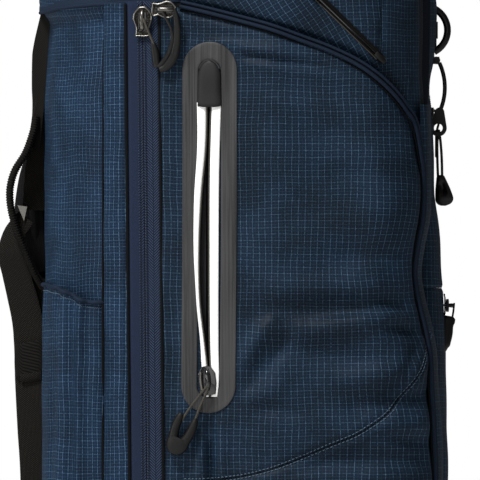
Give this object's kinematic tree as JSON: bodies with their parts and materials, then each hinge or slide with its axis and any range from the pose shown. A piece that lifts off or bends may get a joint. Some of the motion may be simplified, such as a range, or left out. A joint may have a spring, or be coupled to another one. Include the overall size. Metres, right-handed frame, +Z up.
{
  "type": "golf bag",
  "caption": "Upright golf carry bag with a stiff tube, padded cover, side and front zipped pockets, welded valuables pocket, towel ring and shoulder strap.",
  "frame": {"origin": "centre of the underside of the base cup, on the ground", "axes": "+Z up along the tube, +X towards the front pockets, -X the shoulder strap, -Y the side with the welded valuables pocket"},
  "size_m": [0.3762, 0.3071, 0.87],
  "materials": {
    "ripstop": "navy ripstop weave with a fine pale grid",
    "navy_trim": "plain navy binding and piping",
    "zip_tape": "twill zip tape with a reverse coil",
    "black_tape": "black woven zip tape",
    "white_tape": "white laminated zip tape",
    "lining": "plain lining cloth",
    "webbing": "ribbed woven webbing",
    "pad_fabric": "mesh-covered foam",
    "patch_film": "matt grey welded film",
    "garage_rubber": "matt charcoal moulding",
    "pull_rubber": "soft moulded pull",
    "pull_cord": "thin braided cord",
    "black_plastic": "moulded, fine texture",
    "gloss_black": "lacquered",
    "gunmetal": "dark plated, lightly worn",
    "tube_board": "plain sheet",
    "stay_rod": "pultruded glass fibre"
  },
  "bodies": {
    "bag": {"base_cup": "black_plastic", "base_rivets": "gunmetal", "body_tube": "tube_board", "side_stays": "stay_rod", "body_cover": "ripstop", "top_cuff": "black_plastic", "collar_band": "ripstop", "divider_grid": "black_plastic", "divider_sleeves": "lining", "side_pocket": "ripstop", "side_piping": "navy_trim", "side_zip": "zip_tape", "valuables_patch": "patch_film", "zip_garage": "garage_rubber", "valuables_tape_left": "white_tape", "valuables_tape_right": "white_tape", "valuables_pouch": "lining", "bottle_pocket": "ripstop", "bottle_hem": "navy_trim", "upper_pocket": "ripstop", "upper_zip": "black_tape", "front_pocket_upper": "ripstop", "front_zip_upper": "zip_tape", "front_pocket_lower": "ripstop", "front_zip_lower": "zip_tape", "far_pocket": "ripstop", "far_piping": "navy_trim", "far_zip": "zip_tape", "ring_plate": "black_plastic", "strap_upper_web": "webbing", "strap_pad": "pad_fabric", "strap_triangle": "gunmetal", "strap_lower_web": "webbing", "strap_web_end": "webbing", "strap_anchor": "black_plastic"},
    "side_low_slider": {"side_slider_low": "gunmetal"},
    "side_low_tab": {"side_pull_low": "pull_rubber"},
    "side_top_slider": {"side_slider_top": "gunmetal"},
    "side_top_tab": {"side_pull_top": "pull_rubber"},
    "valuables_zip_slider": {"valuables_slider": "gloss_black"},
    "valuables_tab": {"valuables_cord": "pull_cord", "valuables_pull_end": "pull_rubber"},
    "upper_zip_slider": {"upper_slider": "gloss_black"},
    "upper_tab": {"upper_pull": "pull_rubber"},
    "front_upper_slider": {"front_slider_upper": "gunmetal"},
    "front_upper_tab": {"front_pull_upper": "pull_rubber"},
    "front_lower_slider": {"front_slider_lower": "gunmetal"},
    "front_lower_tab": {"front_cord_lower": "pull_cord", "front_end_lower": "pull_rubber"},
    "far_zip_slider": {"far_slider": "gunmetal"},
    "far_tab": {"far_pull": "pull_rubber"},
    "ring": {"towel_ring": "black_plastic"},
    "tether": {"tether_arm": "black_plastic"},
    "tether_tab": {"tether_cord": "pull_cord", "tether_end": "pull_rubber"},
    "keeper": {"strap_keeper": "webbing"}
  },
  "joints": [
    {"name": "side_low_slide", "type": "slide", "parent": "bag", "child": "side_low_slider", "axis": [0, 0, -1], "range_m": [0, 0.6]},
    {"name": "side_low_pull", "type": "hinge", "parent": "side_low_slider", "child": "side_low_tab", "pos_m": [-0.04476, -0.13786, 0.768], "axis": [0.9816, -0.1907, 0], "range_deg": [-120, 0]},
    {"name": "side_top_slide", "type": "slide", "parent": "bag", "child": "side_top_slider", "axis": [0.9436, -0.1834, -0.2756], "range_m": [0, 0.045]},
    {"name": "side_top_pull", "type": "hinge", "parent": "side_top_slider", "child": "side_top_tab", "pos_m": [-0.02593, -0.14243, 0.777], "axis": [0.9436, -0.1834, -0.2756], "range_deg": [-120, 0]},
    {"name": "valuables_slide", "type": "slide", "parent": "bag", "child": "valuables_zip_slider", "axis": [0, 0, 1], "range_m": [0, 0.21]},
    {"name": "valuables_pull", "type": "hinge", "parent": "valuables_zip_slider", "child": "valuables_tab", "pos_m": [0.01072, -0.14772, 0.472], "axis": [0.9816, -0.1907, 0], "range_deg": [-120, 0]},
    {"name": "upper_slide", "type": "slide", "parent": "bag", "child": "upper_zip_slider", "axis": [0.7158, 0.0716, -0.6947], "range_m": [0, 0.065]},
    {"name": "upper_pull", "type": "hinge", "parent": "upper_zip_slider", "child": "upper_tab", "pos_m": [0.09527, -0.15072, 0.79275], "axis": [-0.6912, -0.0691, -0.7193], "range_deg": [-120, 0]},
    {"name": "front_upper_slide", "type": "slide", "parent": "bag", "child": "front_upper_slider", "axis": [0, 0, -1], "range_m": [0, 0.09]},
    {"name": "front_upper_pull", "type": "hinge", "parent": "front_upper_slider", "child": "front_upper_tab", "pos_m": [0.2027, 0.034, 0.689], "axis": [0, 1, 0], "range_deg": [-120, 0]},
    {"name": "front_lower_slide", "type": "slide", "parent": "bag", "child": "front_lower_slider", "axis": [0, 1, 0], "range_m": [0, 0.068]},
    {"name": "front_lower_pull", "type": "hinge", "parent": "front_lower_slider", "child": "front_lower_tab", "pos_m": [0.2142, -0.034, 0.533], "axis": [0, 1, 0], "range_deg": [-120, 0]},
    {"name": "far_slide", "type": "slide", "parent": "bag", "child": "far_zip_slider", "axis": [0, 0, -1], "range_m": [0, 0.6]},
    {"name": "far_pull", "type": "hinge", "parent": "far_zip_slider", "child": "far_tab", "pos_m": [-0.04476, 0.13786, 0.768], "axis": [0.9816, 0.1907, 0], "range_deg": [0, 120]},
    {"name": "ring_hinge", "type": "hinge", "parent": "bag", "child": "ring", "pos_m": [0.1978, -0.03, 0.761], "axis": [0, 0, 1], "range_deg": [-80, 80]},
    {"name": "tether_hinge", "type": "hinge", "parent": "bag", "child": "tether", "pos_m": [0.1996, -0.03, 0.736], "axis": [0, 1, 0], "range_deg": [-90, 0]},
    {"name": "tether_pull", "type": "hinge", "parent": "tether", "child": "tether_tab", "pos_m": [0.2012, -0.03, 0.6747], "axis": [1, 0, 0], "range_deg": [-60, 60]},
    {"name": "keeper_slide", "type": "slide", "parent": "bag", "child": "keeper", "axis": [0, 0, 1], "range_m": [0, 0.025]}
  ]
}
